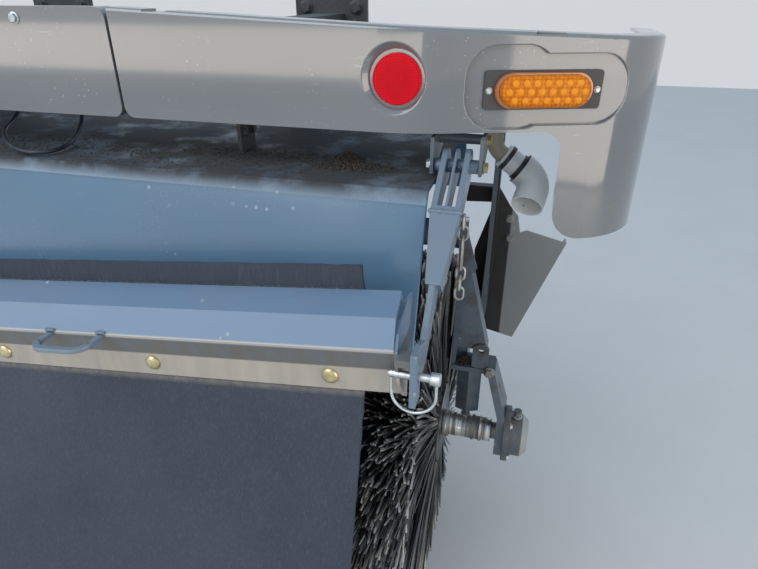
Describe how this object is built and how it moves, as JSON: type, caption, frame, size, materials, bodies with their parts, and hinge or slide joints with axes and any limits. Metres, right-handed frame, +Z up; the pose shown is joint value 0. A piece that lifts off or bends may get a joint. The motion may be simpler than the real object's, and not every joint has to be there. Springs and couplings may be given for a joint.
{
  "type": "street sweeper rear broom unit",
  "caption": "Rear end of a street sweeper: moulded bumper with lamps, broom hood, lift-up rubber flap and cylindrical main broom on trailing arms.",
  "frame": {"origin": "midway between the two chassis flanges, in the plane where they bolt to the machine", "axes": "+X to the machine's right, +Y forward and out of the flanges, +Z up"},
  "size_m": [2.4, 1.1425, 1.37],
  "materials": {
    "grey_paint": "gloss",
    "dark_paint": "satin",
    "bumper_shell": "gloss",
    "red_lens": "gloss",
    "amber_lens": "gloss",
    "lamp_base": "gloss",
    "lamp_plate": "satin",
    "rubber_sheet": "matte",
    "zinc": "satin",
    "yellow_zinc": "satin",
    "worn_steel": "satin",
    "bristle": "matte",
    "pipe_grey": "matte",
    "cable_black": "matte"
  },
  "bodies": {
    "root": {"chassis_rail_right": "dark_paint", "chassis_rail_left": "dark_paint", "rear_cross_member": "dark_paint", "bumper_right": "bumper_shell", "bumper_left": "bumper_shell", "bumper_center": "bumper_shell", "bumper_brackets": "dark_paint", "rear_reflectors": "red_lens", "marker_lamp_plates": "lamp_plate", "marker_lamp_bases": "lamp_base", "marker_lamp_lenses": "amber_lens", "broom_hood": "grey_paint", "hood_hangers": "dark_paint", "hinge_bracket_right": "dark_paint", "hinge_bracket_left": "dark_paint", "side_outriggers": "dark_paint", "broom_pivot_bracket_right": "dark_paint", "broom_pivot_bracket_left": "dark_paint", "side_deflector_right": "grey_paint", "side_deflector_left": "grey_paint", "vent_pipe": "pipe_grey", "cable_loop": "cable_black", "cable_glands": "zinc", "pipe_bracket": "dark_paint"},
    "rear_flap": {"lift_arm_right": "grey_paint", "lift_arm_left": "grey_paint", "flap_frame": "grey_paint", "rubber_flap": "rubber_sheet", "carriage_bolts": "yellow_zinc", "pull_handles": "grey_paint", "lock_pins": "zinc", "lock_pin_rings": "zinc", "safety_chain": "zinc", "chain_eye": "zinc"},
    "broom_lift": {"broom_arm_right": "dark_paint", "broom_arm_left": "dark_paint", "broom_torque_tube": "dark_paint", "hub_motors": "dark_paint"},
    "broom": {"broom_core": "worn_steel", "broom_bristles": "bristle"}
  },
  "joints": [
    {"name": "flap_lift", "type": "hinge", "parent": "root", "child": "rear_flap", "pos_m": [0, -0.64, -0.142], "axis": [-1, 0, 0], "range_deg": [0, 55]},
    {"name": "broom_height", "type": "hinge", "parent": "root", "child": "broom_lift", "pos_m": [0, -0.205, -0.64], "axis": [-1, 0, 0], "range_deg": [-3, 6]},
    {"name": "broom_spin", "type": "hinge", "parent": "broom_lift", "child": "broom", "pos_m": [0, -0.516, -0.82], "axis": [1, 0, 0], "continuous": true}
  ]
}
